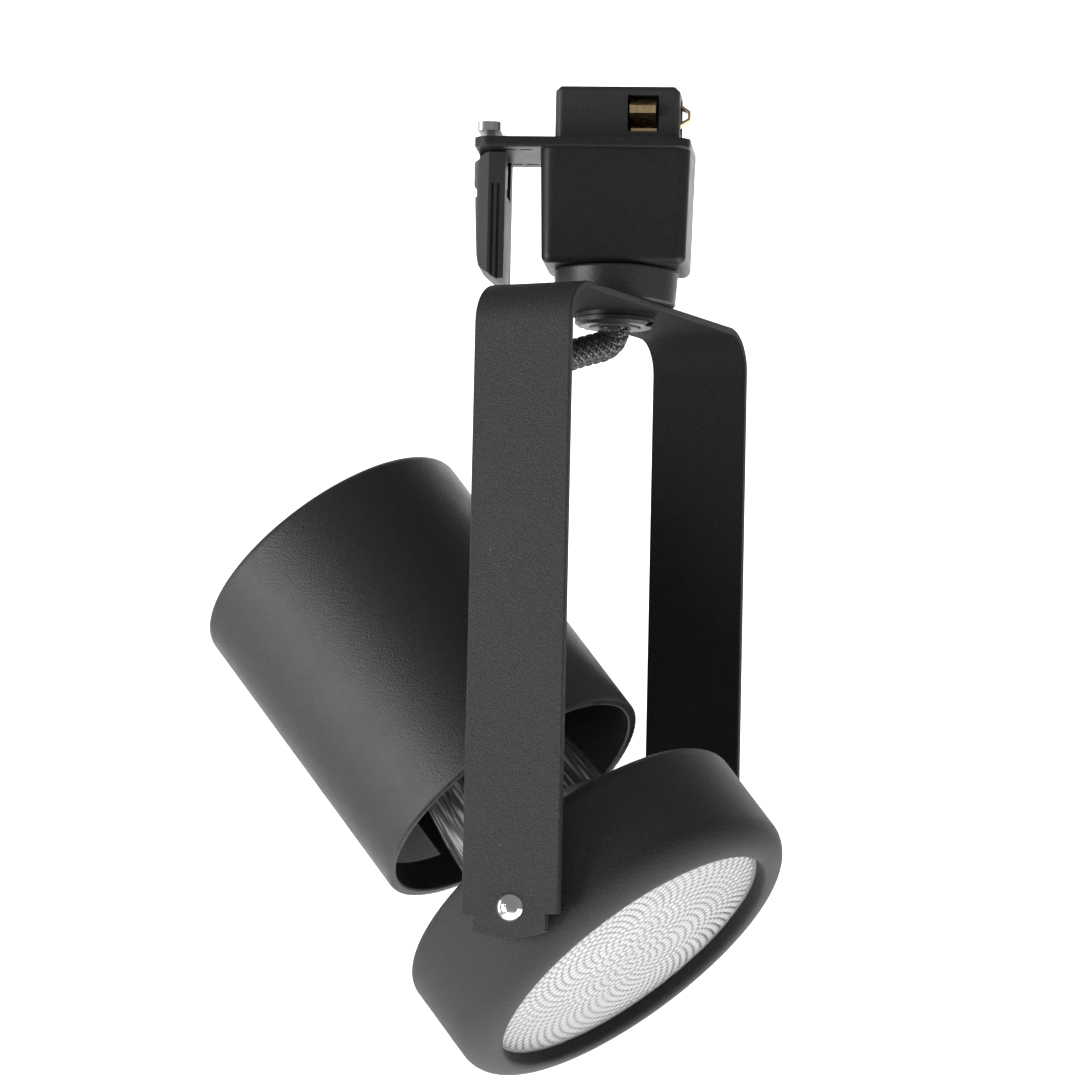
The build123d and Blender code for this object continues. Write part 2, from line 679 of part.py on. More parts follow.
def lamp_base_shell():
    thread_low = LAMP_TIP + 6.8
    shell = wavy_shell(BASE_R - 0.4, 0.4, 0.5, thread_low, BASE_TOP - 2.6)
    skirt = face_of(
        [
            (BASE_R - 0.9, BASE_TOP - 2.6),
            (BASE_R - 0.4, BASE_TOP - 2.6),
            (BASE_R - 0.15, BASE_TOP),
            (BASE_R + 0.95, BASE_TOP + 3.0),
            (BASE_R + 0.45, BASE_TOP + 3.0),
            (BASE_R - 0.65, BASE_TOP),
        ]
    )
    return shell + spun(skirt)


def lamp_base_insulator():
    high = LAMP_TIP + 6.8
    section = face_of([(0, high), (BASE_R - 0.9, high), (BASE_R - 1.3, high - 1.2), (5.4, LAMP_TIP + 1.6),
                       (0, LAMP_TIP + 1.6)])
    return spun(section)


def lamp_eyelet():
    button = rod(4.9, LAMP_TIP, LAMP_TIP + 1.6)
    return fillet(button.edges().group_by(Axis.Z)[0], 0.8)


# ---------------------------------------------------------------- lampholder and cup
HOLDER_R = 19.0
HOLDER_FRONT = LAMP_TIP + 23.0
CAVITY_END = LAMP_TIP - 1.6
HOLDER_REAR = CAVITY_END - 6.0
HOLDER_CAVITY_R = 14.2
HOLDER_SCREW_X = 9.5
HOLDER_SCREW_R = 1.6
TERMINAL_Y = 11.0
TERMINAL_RECESS = (7.0, 5.0, 5.0)
CUP_SCREW_X = 15.9
CUP_SCREW_R = 1.25
CUP_FLOOR = CUP_REAR + CUP_WALL
BRACKET_T = 1.2


def lampholder_body():
    section = face_of(
        [
            (HOLDER_CAVITY_R, HOLDER_FRONT),
            (HOLDER_R - 1.6, HOLDER_FRONT),
            (HOLDER_R, HOLDER_FRONT - 1.6),
            (HOLDER_R, CAVITY_END + 3.0),
            (HOLDER_R - 3.0, HOLDER_REAR),
            (0, HOLDER_REAR),
            (0, CAVITY_END),
            (HOLDER_CAVITY_R, CAVITY_END),
        ],
        [((HOLDER_R, CAVITY_END + 3.0), 1.2)],
    )
    body = spun(section)
    for x in (-HOLDER_SCREW_X, HOLDER_SCREW_X):
        body -= Pos(x, 0, 0) * rod(HOLDER_SCREW_R, HOLDER_REAR - 1, CAVITY_END - 1.0)
    for y in (-TERMINAL_Y, TERMINAL_Y):
        body -= Pos(0, y, HOLDER_REAR) * Box(*TERMINAL_RECESS)
    return body


def holder_screw_shell():
    return wavy_shell(BASE_R + 0.8, 0.3, 0.4, CAVITY_END + 3.2, HOLDER_FRONT - 0.6)


def holder_center_contact():
    path = [(9.0, CAVITY_END + 0.3), (1.0, CAVITY_END + 0.3), (-3.2, LAMP_TIP - 0.35)]
    return strip(path, 0.5, 5.0, Plane.XZ)


def holder_terminals():
    """A brass terminal plate and screw in each of the holder's two rear recesses."""
    solids = []
    for y in (-TERMINAL_Y, TERMINAL_Y):
        plate = Pos(0, y, HOLDER_REAR + 1.9) * Box(6.4, 4.4, 0.8)
        head = Pos(0, y, 0) * rod(1.9, HOLDER_REAR - 0.1, HOLDER_REAR + 1.5)
        solids.append(plate + head - Pos(0, y, HOLDER_REAR - 0.2) * Box(5, 0.6, 1.0))
    return joined(solids)


def holder_bracket():
    """A steel strap bent up like a hat: its crown carries the holder, its feet lie on the cup's floor."""
    crown_z = HOLDER_REAR - BRACKET_T / 2
    foot_z = CUP_FLOOR + BRACKET_T / 2
    half = [(0.0, crown_z), (13.0, crown_z), (13.0, foot_z), (18.6, foot_z)]
    path = [(-x, z) for x, z in half[:0:-1]] + half
    bracket = strip(path, BRACKET_T, 9.0, Plane.XZ)
    for x in (-HOLDER_SCREW_X, HOLDER_SCREW_X):
        bracket -= Pos(x, 0, crown_z) * Cylinder(HOLDER_SCREW_R, 4)
    for x in (-CUP_SCREW_X, CUP_SCREW_X):
        bracket -= Pos(x, 0, foot_z) * Cylinder(CUP_SCREW_R, 4)
    return bracket


def holder_screws():
    screw = Rotation(180, 0, 0) * pan_screw(2.6, 1.6, HOLDER_SCREW_R, 5.6)
    low = HOLDER_REAR - BRACKET_T
    return joined([Pos(x, 0, low) * screw for x in (-HOLDER_SCREW_X, HOLDER_SCREW_X)])


def cup_screws():
    screw = Rotation(180, 0, 0) * pan_screw(2.4, 1.4, CUP_SCREW_R, 5.0)
    return joined([Pos(x, 0, CUP_REAR) * screw for x in (-CUP_SCREW_X, CUP_SCREW_X)])


def entry_axis(shape):
    """Puts a shape made on the Z axis at the lead's entry, its Z pointing out of the cup."""
    plane = Plane(origin=ENTRY_OUT * CUP_R + Vector(0, 0, ENTRY_Z), z_dir=ENTRY_OUT)
    return plane * shape


def socket_cup():
    section = face_of(
        [
            (0, CUP_REAR),
            (CUP_R, CUP_REAR),
            (CUP_R, CUP_MOUTH),
            (CUP_R - CUP_WALL, CUP_MOUTH),
            (CUP_R - CUP_WALL, CUP_FLOOR),
            (0, CUP_FLOOR),
        ],
        [
            ((CUP_R, CUP_REAR), 1.75),
            ((CUP_R - CUP_WALL, CUP_FLOOR), 1.0),
            ((CUP_R, CUP_MOUTH), 0.5),
            ((CUP_R - CUP_WALL, CUP_MOUTH), 0.5),
        ],
    )
    cup = spun(section)
    cup -= entry_axis(rod(4.2, -6, 6))
    for x in (-CUP_SCREW_X, CUP_SCREW_X):
        cup -= Pos(x, 0, CUP_REAR) * Cylinder(CUP_SCREW_R, 6)
    return cup


def cup_grommet():
    bore = SLEEVE_D / 2 + SLIP
    collar = tube(5.4, bore, 0.35, 1.9)
    collar = fillet(collar.edges().group_by(Axis.Z)[-1], 0.5)
    neck = tube(4.2, bore, -CUP_WALL - 0.7, 0.5)
    flange = tube(4.9, bore, -3.6, -CUP_WALL - 0.7)
    return entry_axis(collar + neck + flange)


def holder_leads():
    """Two wires from the sleeve's end inside the cup back to the holder's terminals."""
    end = ENTRY_OUT * (CUP_R - 4.9) + Vector(0, 0, ENTRY_Z)
    inward = -ENTRY_OUT
    wires = []
    for side in (-1, 1):
        first = end + Vector(0, 0, side * 1.1)
        swing = Vector(ENTRY_OUT.X, ENTRY_OUT.Y, 0) * 22.3 + Vector(-0.7, -0.7, 0) * side * 2.2
        corner = first + inward * 1.4
        points = [
            first,
            corner,
            swing + Vector(0, 0, ENTRY_Z - 9.0),
            swing + Vector(0, 0, HOLDER_REAR - 1.5),
            Vector(1.5, side * TERMINAL_Y, HOLDER_REAR - 5.0),
            Vector(0, side * TERMINAL_Y, HOLDER_REAR - 0.35),
        ]
        wires.append(wire(points, LEAD_WIRE_R, 0.9))
    return joined(wires)


def rating_label():
    """A blank foil label inside the cup's mouth."""
    r = CUP_R - CUP_WALL - 0.02
    low = CUP_MOUTH - 18.0
    high = CUP_MOUTH - 7.0
    section = face_of([(r - 0.12, low), (r, low), (r, high), (r - 0.12, high)])
    return Rotation(0, 0, -122) * spun(section, 62)


# ---------------------------------------------------------------- the assembly
for piece in (adapter_housing, floor_bushing, top_plate, track_insert, ground_contact, terminal_block,
              adapter_leads, housing_screws, latch_lever, cam_shaft, lock_bar, swivel_collar, swivel_stem,
              thrust_washer, stop_washer, retainer_nut, lock_washer, stem_nut, cable_bushing):
    parts[piece.__name__] = piece()
parts["line_contact"] = side_contact(1, -5.0)
parts["neutral_contact"] = side_contact(-1, 5.0)

for name in ("swivel_stem", "retainer_nut", "lock_washer", "stem_nut", "cable_bushing"):
    parts[name] = Rotation(0, 0, YOKE_YAW) * parts[name]

for piece in (yoke_strap, supply_lead):
    parts[piece.__name__] = YOKE_PLACE * piece()
parts["pivot_rivets"] = YOKE_PLACE * on_both_legs(pivot_rivet())
parts["pivot_spacers"] = YOKE_PLACE * on_both_legs(pivot_spacer())
parts["friction_washers"] = YOKE_PLACE * on_both_legs(friction_washer())

for piece in (gimbal_ring, lamp_clip, lamp_lens, lamp_reflector, burner_capsule, filament, burner_supports,
              lamp_base_shell, lamp_base_insulator, lamp_eyelet, lampholder_body, holder_screw_shell,
              holder_center_contact, holder_terminals, holder_bracket, holder_screws, cup_screws, socket_cup,
              cup_grommet, holder_leads, rating_label):
    parts[piece.__name__] = HEAD_PLACE * piece()

os.makedirs("parts", exist_ok=True)
for name, shape in parts.items():
    export_step(shape, f"parts/{name}.step")
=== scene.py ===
import json
import math
import bpy
import bmesh
from mathutils import Matrix, Vector
from mathutils.kdtree import KDTree


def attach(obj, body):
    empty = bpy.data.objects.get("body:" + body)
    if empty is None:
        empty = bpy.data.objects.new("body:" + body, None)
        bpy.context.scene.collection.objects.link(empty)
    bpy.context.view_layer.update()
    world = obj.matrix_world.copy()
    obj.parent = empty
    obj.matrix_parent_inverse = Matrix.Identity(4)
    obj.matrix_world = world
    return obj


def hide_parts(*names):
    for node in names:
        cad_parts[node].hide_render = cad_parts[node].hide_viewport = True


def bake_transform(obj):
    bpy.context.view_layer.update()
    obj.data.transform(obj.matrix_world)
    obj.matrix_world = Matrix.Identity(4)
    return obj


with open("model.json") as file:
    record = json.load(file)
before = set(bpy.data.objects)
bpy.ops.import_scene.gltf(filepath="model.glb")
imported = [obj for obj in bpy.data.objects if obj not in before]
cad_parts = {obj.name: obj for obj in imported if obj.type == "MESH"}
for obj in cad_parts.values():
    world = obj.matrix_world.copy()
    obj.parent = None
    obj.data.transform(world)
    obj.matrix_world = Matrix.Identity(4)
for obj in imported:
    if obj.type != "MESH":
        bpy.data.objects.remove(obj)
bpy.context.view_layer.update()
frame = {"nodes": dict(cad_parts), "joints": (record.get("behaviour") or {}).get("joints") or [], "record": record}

MM = 0.001
joints = {j["name"]: j for j in frame["joints"]}
PIVOT = Vector(joints["head_tilt"]["pos_m"])
YAW = math.radians(68.4)
TILT = math.radians(40.3)
YOKE_FRAME = Matrix.Translation(PIVOT) @ Matrix.Rotation(YAW, 4, "Z")
HEAD_FRAME = YOKE_FRAME @ Matrix.Rotation(math.pi - TILT, 4, "X")


# ------------------------------------------------------------------ camera
def make_camera():
    """A long lens a little below the head, looking slightly up at the fitting."""
    data = bpy.data.cameras.new("camera")
    data.lens = 214.4
    data.sensor_width = 36.0
    data.clip_start = 0.05
    data.clip_end = 50.0
    camera = bpy.data.objects.new("camera", data)
    bpy.context.scene.collection.objects.link(camera)
    camera.location = CAMERA_PLACE
    turn = Matrix.Rotation(CAMERA_YAW, 3, "Z") @ Matrix.Rotation(math.pi / 2 + CAMERA_PITCH, 3, "X")
    camera.rotation_euler = (turn @ Matrix.Rotation(CAMERA_ROLL, 3, "Z")).to_euler()
    bpy.context.scene.camera = camera


CAMERA_PLACE = Vector((0.0833, -1.2226, -0.2078))
CAMERA_YAW = math.radians(4.53)
CAMERA_PITCH = math.radians(6.12)
CAMERA_ROLL = math.radians(1.255)
make_camera()


# ------------------------------------------------------------------ materials
def principled(name, **values):
    """A new material and its shader, with constants on the shader's own sockets."""
    made = bpy.data.materials.new(name)
    made.use_nodes = True
    shader = made.node_tree.nodes["Principled BSDF"]
    for socket, value in values.items():
        shader.inputs[socket.replace("_", " ")].default_value = value
    return made, shader


def noise(tree, scale, detail=2.0, roughness=0.5, stretch=None):
    """Noise over the piece's own space, with grains of about 1/scale metres."""
    place = tree.nodes.new("ShaderNodeTexCoord")
    texture = tree.nodes.new("ShaderNodeTexNoise")
    texture.inputs["Scale"].default_value = scale
    texture.inputs["Detail"].default_value = detail
    texture.inputs["Roughness"].default_value = roughness
    source = place.outputs["Object"]
    if stretch:
        mapping = tree.nodes.new("ShaderNodeMapping")
        mapping.inputs["Rotation"].default_value = stretch[0]
        mapping.inputs["Scale"].default_value = stretch[1]
        tree.links.new(source, mapping.inputs["Vector"])
        source = mapping.outputs["Vector"]
    tree.links.new(source, texture.inputs["Vector"])
    return texture.outputs["Fac"]


def ramp(tree, value, stops):
    """Maps a value to colours: stops are (position, grey or (r, g, b))."""
    node = tree.nodes.new("ShaderNodeValToRGB")
    elements = node.color_ramp.elements
    while len(elements) < len(stops):
        elements.new(0.5)
    for element, (position, colour) in zip(elements, stops):
        element.position = position
        rgb = (colour,) * 3 if isinstance(colour, (int, float)) else colour
        element.color = (*rgb, 1.0)
    tree.links.new(value, node.inputs["Fac"])
    return node.outputs["Color"]


def spread(tree, value, low, high):
    """Maps a value's middle range to low and high."""
    node = tree.nodes.new("ShaderNodeMapRange")
    node.inputs["From Min"].default_value = 0.3
    node.inputs["From Max"].default_value = 0.7
    node.inputs["To Min"].default_value = low
    node.inputs["To Max"].default_value = high
    tree.links.new(value, node.inputs["Value"])
    return node.outputs["Result"]


def bump(tree, shader, height, distance):
    node = tree.nodes.new("ShaderNodeBump")
    node.inputs["Distance"].default_value = distance
    tree.links.new(height, node.inputs["Height"])
    tree.links.new(node.outputs["Normal"], shader.inputs["Normal"])


def lighten(tree, base, mask, colour):
    """Mixes a paler colour over the base where the mask is."""
    node = tree.nodes.new("ShaderNodeMix")
    node.data_type = "RGBA"
    node.inputs["B"].default_value = (*colour, 1.0)
    tree.links.new(mask, node.inputs["Factor"])
    tree.links.new(base, node.inputs["A"])
    return node.outputs["Result"]


def added(tree, first, second, share):
    """The first value plus a share of the second."""
    node = tree.nodes.new("ShaderNodeMath")
    node.operation = "MULTIPLY_ADD"
    node.inputs[1].default_value = share
    tree.links.new(second, node.inputs[0])
    tree.links.new(first, node.inputs[2])
    return node.outputs["Value"]


def coated(name, dark, light, rough, grain, depth, peel=0.0, scratches=0.0, **values):
    """A painted or moulded finish: tone grains, uneven gloss, fine bumps and light scratches."""
    made, shader = principled(name, **values)
    tree = made.node_tree
    fine = noise(tree, grain, 3.0, 0.6)
    tone = ramp(tree, fine, [(0.32, dark), (0.68, light)])
    if scratches:
        streaks = noise(tree, 90.0, 4.0, 0.6, ((0.3, 0.2, 0.5), (1.0, 1.0, 14.0)))
        mask = ramp(tree, streaks, [(0.70, 0.0), (0.76, scratches)])
        tone = lighten(tree, tone, mask, (light * 3.2,) * 3)
    tree.links.new(tone, shader.inputs["Base Color"])
    broad = noise(tree, grain * 0.06, 2.0, 0.5)
    tree.links.new(spread(tree, broad, *rough), shader.inputs["Roughness"])
    height = fine
    if peel:
        height = added(tree, fine, noise(tree, grain * 0.35, 1.0, 0.4), peel)
    bump(tree, shader, height, depth)
    return made


def math_node(tree, operation, first, second=None):
    """One math node; each input is a socket or a number."""
    node = tree.nodes.new("ShaderNodeMath")
    node.operation = operation
    for socket, value in zip(node.inputs, (first, second)):
        if value is None:
            continue
        if isinstance(value, (int, float)):
            socket.default_value = value
        else:
            tree.links.new(value, socket)
    return node.outputs["Value"]


def distance_along(tree, direction, origin):
    """How far the point is from an origin along a direction, in the piece's own space."""
    place = tree.nodes.new("ShaderNodeTexCoord")
    dot = tree.nodes.new("ShaderNodeVectorMath")
    dot.operation = "DOT_PRODUCT"
    dot.inputs[1].default_value = direction
    tree.links.new(place.outputs["Object"], dot.inputs[0])
    return math_node(tree, "SUBTRACT", dot.outputs["Value"], origin.dot(direction))


def inside_strap(tree):
    """1 on the strap's inner faces, where little powder reaches, and 0 outside."""
    along = distance_along(tree, YOKE_FRAME.to_3x3().col[0], PIVOT)
    above = distance_along(tree, Vector((0.0, 0.0, 1.0)), Vector((0.0, 0.0, STRAP_BEND_Z)))
    past_bend = math_node(tree, "SUBTRACT", math_node(tree, "ABSOLUTE", along), STRAP_BEND_X)
    across = math_node(tree, "MAXIMUM", past_bend, 0.0)
    up = math_node(tree, "MAXIMUM", above, 0.0)
    across_squared = math_node(tree, "MULTIPLY", across, across)
    up_squared = math_node(tree, "MULTIPLY", up, up)
    reach = math_node(tree, "SQRT", math_node(tree, "ADD", across_squared, up_squared))
    return math_node(tree, "LESS_THAN", reach, STRAP_INSIDE_R)


def strap_finish():
    """The ring's powder coat, thinner, darker and lightly scratched on the strap's inner faces."""
    made, shader = principled("strap_black", Specular_IOR_Level=0.4)
    tree = made.node_tree
    fine = noise(tree, POWDER_GRAIN, 3.0, 0.6)
    outer = ramp(tree, fine, [(0.32, POWDER_DARK), (0.68, POWDER_LIGHT)])
    inner = ramp(tree, fine, [(0.32, 0.009), (0.68, 0.017)])
    streaks = noise(tree, 60.0, 5.0, 0.65, ((0.3, 0.2, 0.5), (9.0, 9.0, 1.0)))
    specks = noise(tree, 420.0, 2.0, 0.5)
    inner = lighten(tree, inner, ramp(tree, streaks, [(0.71, 0.0), (0.75, 0.35)]), (0.10,) * 3)
    outer = lighten(tree, outer, ramp(tree, specks, [(0.76, 0.0), (0.80, 0.5)]), (0.16,) * 3)
    inside = inside_strap(tree)
    tone = tree.nodes.new("ShaderNodeMix")
    tone.data_type = "RGBA"
    tree.links.new(inside, tone.inputs["Factor"])
    tree.links.new(outer, tone.inputs["A"])
    tree.links.new(inner, tone.inputs["B"])
    tree.links.new(tone.outputs["Result"], shader.inputs["Base Color"])
    gloss = tree.nodes.new("ShaderNodeMapRange")
    gloss.inputs["To Min"].default_value = 0.56
    gloss.inputs["To Max"].default_value = 0.68
    tree.links.new(inside, gloss.inputs["Value"])
    tree.links.new(gloss.outputs["Result"], shader.inputs["Roughness"])
    level = tree.nodes.new("ShaderNodeMapRange")
    level.inputs["To Min"].default_value = 0.42
    level.inputs["To Max"].default_value = 0.14
    tree.links.new(inside, level.inputs["Value"])
    tree.links.new(level.outputs["Result"], shader.inputs["Specular IOR Level"])
    bump(tree, shader, fine, POWDER_DEPTH)
    return made


def metal(name, colour, rough, grain=900.0, depth=0.00002, stretch=None, **values):
    """A bare metal with fine drawing or tumbling marks."""
    made, shader = principled(name, Metallic=1.0, **values)
    tree = made.node_tree
    marks = noise(tree, grain, 3.0, 0.6, stretch)
    low = tuple(c * 0.82 for c in colour)
    tree.links.new(ramp(tree, marks, [(0.3, low), (0.7, colour)]), shader.inputs["Base Color"])
    tree.links.new(spread(tree, marks, *rough), shader.inputs["Roughness"])
    bump(tree, shader, marks, depth)
    return made


def clear(name, colour, rough, ior=1.5, grain=120.0, depth=0.00001):
    """Clear glass with faint moulding waves."""
    made, shader = principled(name, Transmission_Weight=1.0, IOR=ior)
    tree = made.node_tree
    waves = noise(tree, grain, 2.0, 0.5)
    low = tuple(c * 0.97 for c in colour)
    tree.links.new(ramp(tree, waves, [(0.3, low), (0.7, colour)]), shader.inputs["Base Color"])
    tree.links.new(spread(tree, waves, *rough), shader.inputs["Roughness"])
    bump(tree, shader, waves, depth)
    return made


def lengthwise_noise(tree, scale, squeeze):
    """Noise drawn out along the lamp's axis, as the marks on pressed glass are."""
    join = tree.nodes.new("ShaderNodeCombineXYZ")
    for column, factor, socket in zip(HEAD_FRAME.to_3x3().col, (1.0, 1.0, squeeze), join.inputs):
        along = distance_along(tree, column, PIVOT)
        tree.links.new(math_node(tree, "MULTIPLY", along, factor), socket)
    texture = tree.nodes.new("ShaderNodeTexNoise")
    texture.inputs["Scale"].default_value = scale
    texture.inputs["Detail"].default_value = 2.0
    tree.links.new(join.outputs["Vector"], texture.inputs["Vector"])
    return texture.outputs["Fac"]


def reflector_material():
    """Bright mirror inside the bowl; greyer outside, with lengthwise streaks down the neck."""
    made, shader = principled("reflector_glass", IOR=1.5)
    tree = made.node_tree
    lines = lengthwise_noise(tree, 900.0, 0.03)
    along = distance_along(tree, HEAD_FRAME.to_3x3().col[2], PIVOT)
    neck = math_node(tree, "LESS_THAN", along, MIRROR_START)
    depth = math_node(tree, "ADD", math_node(tree, "MULTIPLY", neck, 1.0 - BOWL_STREAKS), BOWL_STREAKS)
    swing = math_node(tree, "MULTIPLY", math_node(tree, "SUBTRACT", lines, 0.5), depth)
    streaks = math_node(tree, "ADD", swing, 0.5)
    attribute = tree.nodes.new("ShaderNodeAttribute")
    attribute.attribute_name = "outside"
    mix = tree.nodes.new("ShaderNodeMix")
    mix.data_type = "RGBA"
    tree.links.new(attribute.outputs["Fac"], mix.inputs["Factor"])
    tree.links.new(ramp(tree, streaks, [(0.3, 0.86), (0.7, 0.94)]), mix.inputs["A"])
    tree.links.new(ramp(tree, streaks, [(0.40, 0.14), (0.54, 0.36), (0.63, 1.0)]), mix.inputs["B"])
    tree.links.new(mix.outputs["Result"], shader.inputs["Base Color"])
    outside = math_node(tree, "MULTIPLY", attribute.outputs["Fac"], 0.6)
    tree.links.new(math_node(tree, "SUBTRACT", 1.0, outside), shader.inputs["Metallic"])
    tree.links.new(spread(tree, streaks, 0.06, 0.20), shader.inputs["Roughness"])
    bump(tree, shader, streaks, 0.00004)
    return made


def ring_finish():
    """The ring's wrinkle powder coat, with painted shade inside its lens opening: a near-black base colour where
    the lip's inner wall lies in shadow.
    """
    made, shader = principled("textured_black_ring", Specular_IOR_Level=0.42)
    tree = made.node_tree
    fine = noise(tree, POWDER_GRAIN, 3.0, 0.6)
    coat = ramp(tree, fine, [(0.32, POWDER_DARK), (0.68, POWDER_LIGHT)])
    squares = [math_node(tree, "POWER", distance_along(tree, HEAD_FRAME.to_3x3().col[i], PIVOT), 2.0)
               for i in range(2)]
    radius = math_node(tree, "SQRT", math_node(tree, "ADD", *squares))
    # painted shade: nearer the lamp's axis than the opening's radius, the base colour is near black, standing in
    # for the shadow on the lip's inner wall
    mix = tree.nodes.new("ShaderNodeMix")
    mix.data_type = "RGBA"
    tree.links.new(math_node(tree, "LESS_THAN", radius, OPENING_SHADE_R), mix.inputs["Factor"])
    tree.links.new(coat, mix.inputs["A"])
    mix.inputs["B"].default_value = (0.003, 0.003, 0.003, 1.0)
    tree.links.new(mix.outputs["Result"], shader.inputs["Base Color"])
    tree.links.new(spread(tree, fine, 0.46, 0.58), shader.inputs["Roughness"])
    bump(tree, shader, fine, POWDER_DEPTH)
    return made


def lens_material():
    """Pressed glass with a partly scattering pale base colour, a painted reflection standing in for the bright
    reflector seen through it, and painted shade along the grooves between its lenslets.
    """
    made, shader = principled("lens_glass", Transmission_Weight=0.55, IOR=1.5)
    tree = made.node_tree
    attribute = tree.nodes.new("ShaderNodeAttribute")
    attribute.attribute_name = "groove_shade"
    waves = noise(tree, 700.0, 2.0, 0.5)
    value = added(tree, attribute.outputs["Fac"], waves, 0.25)
    # painted shade: the base colour darkens to grey towards the lenslets' borders; the pale rest is painted
    # reflection of the reflector's light
    tree.links.new(ramp(tree, value, [(0.50, 0.90), (0.98, 0.20)]), shader.inputs["Base Color"])
    tree.links.new(spread(tree, waves, 0.04, 0.12), shader.inputs["Roughness"])
    bump(tree, shader, waves, 0.00002)
    return made


def braid_material():
    """Varnished black glass-fibre yarn: fine filaments, with painted glints as pale flecks in the base colour."""
    made, shader = principled("braided_sleeve", Specular_IOR_Level=0.8, Coat_Weight=0.7, Coat_Roughness=0.16)
    tree = made.node_tree
    fibres = noise(tree, 1500.0, 3.0, 0.6, ((0.0, 0.0, 0.0), (1.0, 1.0, 3.0)))
    # painted highlight: the top stop makes the noise's peaks pale, as glints on the yarn
    tone = ramp(tree, fibres, [(0.40, 0.004), (0.62, 0.014), (0.78, 0.50)])
    tree.links.new(tone, shader.inputs["Base Color"])
    tree.links.new(spread(tree, fibres, 0.25, 0.6), shader.inputs["Roughness"])
    bump(tree, shader, fibres, 0.00008)
    return made


# radius of the lens opening, inside which the ring's painted shade lies
OPENING_SHADE_R = 0.0304
MIRROR_START = -0.0205
BOWL_STREAKS = 0.15
STRAP_BEND_X = 0.03225
STRAP_BEND_Z = -0.039
STRAP_INSIDE_R = 0.0067
POWDER_GRAIN = 2900.0
POWDER_DEPTH = 0.00024
POWDER_DARK = 0.008
POWDER_LIGHT = 0.030

FINISHES = {
    "adapter_plastic": coated("adapter_plastic", 0.010, 0.018, (0.36, 0.44), 2600.0, 0.00004,
                              Specular_IOR_Level=0.3),
    "insert_plastic": coated("insert_plastic", 0.018, 0.028, (0.42, 0.55), 1800.0, 0.00002),
    # painted light: the lever's base colour is paler than the housing's plastic, standing in for the stronger
    # light from the left on its bow; the streaks are pale scratches
    "lever_plastic": coated("lever_plastic", 0.026, 0.034, (0.42, 0.50), 2200.0, 0.000015, scratches=0.3,
                            Specular_IOR_Level=0.25),
    "bushing_nylon": coated("bushing_nylon", 0.020, 0.032, (0.38, 0.5), 1500.0, 0.00002),
    "contact_brass": metal("contact_brass", (0.80, 0.60, 0.33), (0.22, 0.36)),
    "wire_insulation": coated("wire_insulation", 0.42, 0.55, (0.45, 0.6), 1200.0, 0.00003),
    "zinc_steel": metal("zinc_steel", (0.60, 0.60, 0.62), (0.28, 0.42)),
    "black_steel": coated("black_steel", 0.008, 0.012, (0.34, 0.46), 1800.0, 0.00002, Specular_IOR_Level=0.6),
    "textured_black": coated("textured_black", POWDER_DARK, POWDER_LIGHT, (0.52, 0.62), POWDER_GRAIN,
                             POWDER_DEPTH, Specular_IOR_Level=0.42),
    "collar_black": coated("collar_black", 0.014, 0.026, (0.34, 0.46), 1700.0, 0.00004, peel=0.5,
                           scratches=0.8),
    "satin_black": coated("satin_black", 0.010, 0.024, (0.38, 0.44), 2900.0, 0.00014),
    "rivet_chrome": metal("rivet_chrome", (0.86, 0.86, 0.87), (0.05, 0.12), 400.0, 0.000006),
    "spacer_nylon": coated("spacer_nylon", 0.012, 0.02, (0.4, 0.5), 1500.0, 0.00002),
    "braided_sleeve": braid_material(),
    "lens_glass": lens_material(),
    "capsule_glass": clear("capsule_glass", (0.97, 0.97, 0.97), (0.0, 0.03)),
    "reflector_glass": reflector_material(),
    "lamp_base_metal": metal("lamp_base_metal", (0.72, 0.71, 0.68), (0.25, 0.4)),
    "base_insulator": coated("base_insulator", 0.010, 0.016, (0.1, 0.2), 900.0, 0.00001),
    "porcelain": coated("porcelain", 0.70, 0.80, (0.15, 0.25), 500.0, 0.00002, Coat_Weight=0.5),
    "grommet_rubber": coated("grommet_rubber", 0.012, 0.02, (0.5, 0.62), 1400.0, 0.00003),
    "label_foil": coated("label_foil", 0.72, 0.84, (0.35, 0.5), 1300.0, 0.00002, Metallic=0.3),
}


def finish_node(name, finish):
    """Gives a CAD node one material in place of its own."""
    mesh = frame["nodes"][name].data
    mesh.materials.clear()
    mesh.materials.append(finish)


for subpart in frame["record"]["subparts"]:
    finish_node(subpart["node"], FINISHES[subpart["material_slot"]])
finish_node("yoke_strap", strap_finish())
finish_node("gimbal_ring", ring_finish())


# ------------------------------------------------------------------ mesh helpers
def piece(name, verts, faces, slot_name, body, place=None, replaced=()):
    """A mesh piece in the row frame, finished, riding on a body and standing for its CAD nodes."""
    mesh = bpy.data.meshes.new(name)
    mesh.from_pydata([tuple(v) for v in verts], [], faces)
    mesh.update()
    if place is not None:
        mesh.transform(place)
    mesh.shade_smooth()
    made = bpy.data.objects.new(name, mesh)
    bpy.context.scene.collection.objects.link(made)
    mesh.materials.append(FINISHES[slot_name])
    if replaced:
        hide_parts(*replaced)
    if body:
        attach(made, body)
    return made


# ------------------------------------------------------------------ lens
LENS_R = 31.75
LENS_EDGE = 7.8
LENS_CROWN = 8.7
LENS_SEAT = 4.0
FACET_R = 29.6
FACET_PITCH = 1.62
FACET_RISE = 0.42
LENS_CELLS = 220
GOLDEN_TURN = math.pi * (3.0 - math.sqrt(5.0))
INNER_Z = 5.4


def lens_profile(r):
    """The height of the lens' smooth outer face."""
    return LENS_CROWN - (LENS_CROWN - LENS_EDGE) * (r / LENS_R) ** 2.4


